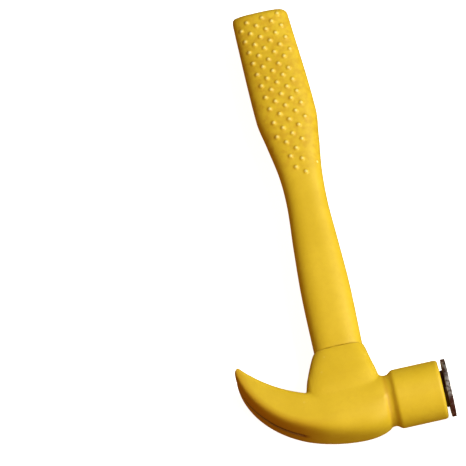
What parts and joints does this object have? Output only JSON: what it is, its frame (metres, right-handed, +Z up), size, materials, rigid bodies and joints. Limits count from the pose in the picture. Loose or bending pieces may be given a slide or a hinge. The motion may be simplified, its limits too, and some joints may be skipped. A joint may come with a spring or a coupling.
{
  "type": "claw hammer with striking disc",
  "caption": "Small claw hammer with a yellow moulded skin, nubbed flat grip, round poll and a bolt-on steel striking disc.",
  "frame": {"origin": "middle of the bounding box, at its lowest height, with the hammer lying on its side", "axes": "+X along the head to the striking face, +Y along the handle to the butt, +Z up through the thickness"},
  "size_m": [0.1036, 0.2418, 0.0299],
  "materials": {
    "yellow_skin": "satin, moulded",
    "core_steel": "as forged",
    "disc_steel": "worn and stained",
    "screw_steel": "plated",
    "spacer_fibre": "pressed red-brown fibre"
  },
  "bodies": {
    "root": {"handle_jacket": "yellow_skin", "handle_core": "core_steel", "head_jacket": "yellow_skin", "head_core": "core_steel", "tang_pin_upper": "screw_steel", "tang_pin_lower": "screw_steel", "disc_spacer": "spacer_fibre", "strike_disc": "disc_steel", "disc_screw": "screw_steel"}
  },
  "joints": []
}
